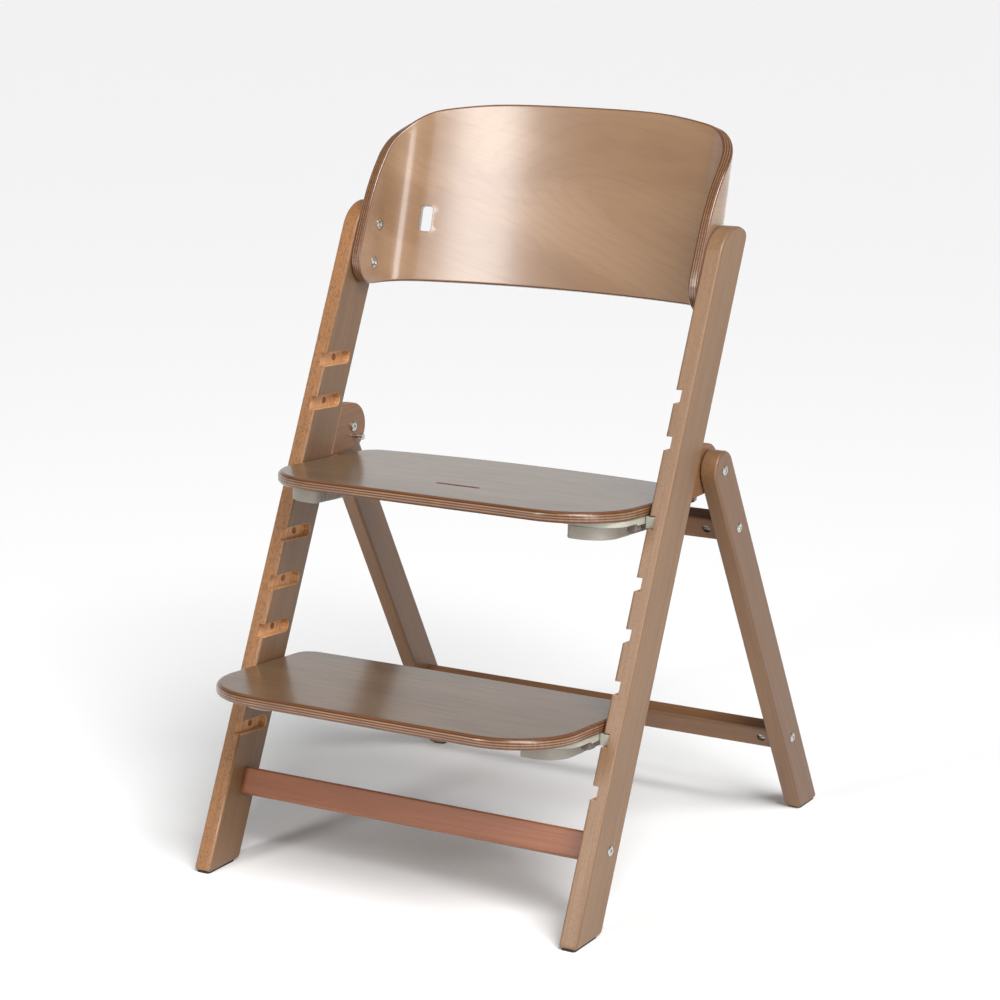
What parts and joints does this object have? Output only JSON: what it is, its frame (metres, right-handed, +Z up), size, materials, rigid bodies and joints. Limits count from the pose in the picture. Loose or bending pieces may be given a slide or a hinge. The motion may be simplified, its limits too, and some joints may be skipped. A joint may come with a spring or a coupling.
{
  "type": "folding high chair",
  "caption": "Folding wooden high chair with leaning grooved rails, a bent plywood backrest, and a seat and footrest that slide into the grooves and lock with side latches.",
  "frame": {"origin": "centre of the chair's footprint box, on the floor", "axes": "+X across the chair, +Y from front to back, +Z up"},
  "size_m": [0.5088, 0.607, 0.8103],
  "materials": {
    "stained_beech": "satin lacquer",
    "plywood": "satin lacquer",
    "steel": "plated",
    "bracket_plastic": "matte",
    "knob_plastic": "matte",
    "glide_pad": "matte"
  },
  "bodies": {
    "frame": {"rail_left": "stained_beech", "rail_right": "stained_beech", "front_crossbar": "stained_beech", "crossbar_bolts": "steel", "crossbar_barrel_nuts": "steel", "hinge_block_left": "stained_beech", "hinge_block_right": "stained_beech", "block_dowels": "stained_beech", "pivot_bolts": "steel", "pivot_sleeves": "steel", "fold_stop_pins": "steel", "backrest_panel": "plywood", "backrest_screws": "steel", "rail_glides": "glide_pad"},
    "rear_frame": {"rear_leg_left": "stained_beech", "rear_leg_right": "stained_beech", "rear_upper_bar": "stained_beech", "rear_lower_bar": "stained_beech", "rear_bar_bolts": "steel", "rear_barrel_nuts": "steel", "leg_glides": "glide_pad"},
    "seat": {"seat_plate": "plywood", "seat_bracket_left": "bracket_plastic", "seat_bracket_right": "bracket_plastic", "seat_screws": "steel"},
    "seat_latch_left": {"seat_knob_left": "knob_plastic", "seat_pin_left": "steel"},
    "seat_latch_right": {"seat_knob_right": "knob_plastic", "seat_pin_right": "steel"},
    "footrest": {"footrest_plate": "plywood", "footrest_bracket_left": "bracket_plastic", "footrest_bracket_right": "bracket_plastic", "footrest_screws": "steel"},
    "footrest_latch_left": {"footrest_knob_left": "knob_plastic", "footrest_pin_left": "steel"},
    "footrest_latch_right": {"footrest_knob_right": "knob_plastic", "footrest_pin_right": "steel"}
  },
  "joints": [
    {"name": "rear_fold", "type": "hinge", "parent": "frame", "child": "rear_frame", "pos_m": [0, 0.0325, 0.4475], "axis": [-1, 0, 0], "range_deg": [0, 54]},
    {"name": "seat_slide", "type": "slide", "parent": "frame", "child": "seat", "axis": [0, -0.9976, 0.0698], "range_m": [0, 0.06]},
    {"name": "seat_latch_left_slide", "type": "slide", "parent": "seat", "child": "seat_latch_left", "axis": [-1, 0, 0], "range_m": [0, 0.006]},
    {"name": "seat_latch_right_slide", "type": "slide", "parent": "seat", "child": "seat_latch_right", "axis": [1, 0, 0], "range_m": [0, 0.006]},
    {"name": "footrest_slide", "type": "slide", "parent": "frame", "child": "footrest", "axis": [0, -0.9976, 0.0698], "range_m": [0, 0.06]},
    {"name": "footrest_latch_left_slide", "type": "slide", "parent": "footrest", "child": "footrest_latch_left", "axis": [-1, 0, 0], "range_m": [0, 0.006]},
    {"name": "footrest_latch_right_slide", "type": "slide", "parent": "footrest", "child": "footrest_latch_right", "axis": [1, 0, 0], "range_m": [0, 0.006]}
  ]
}
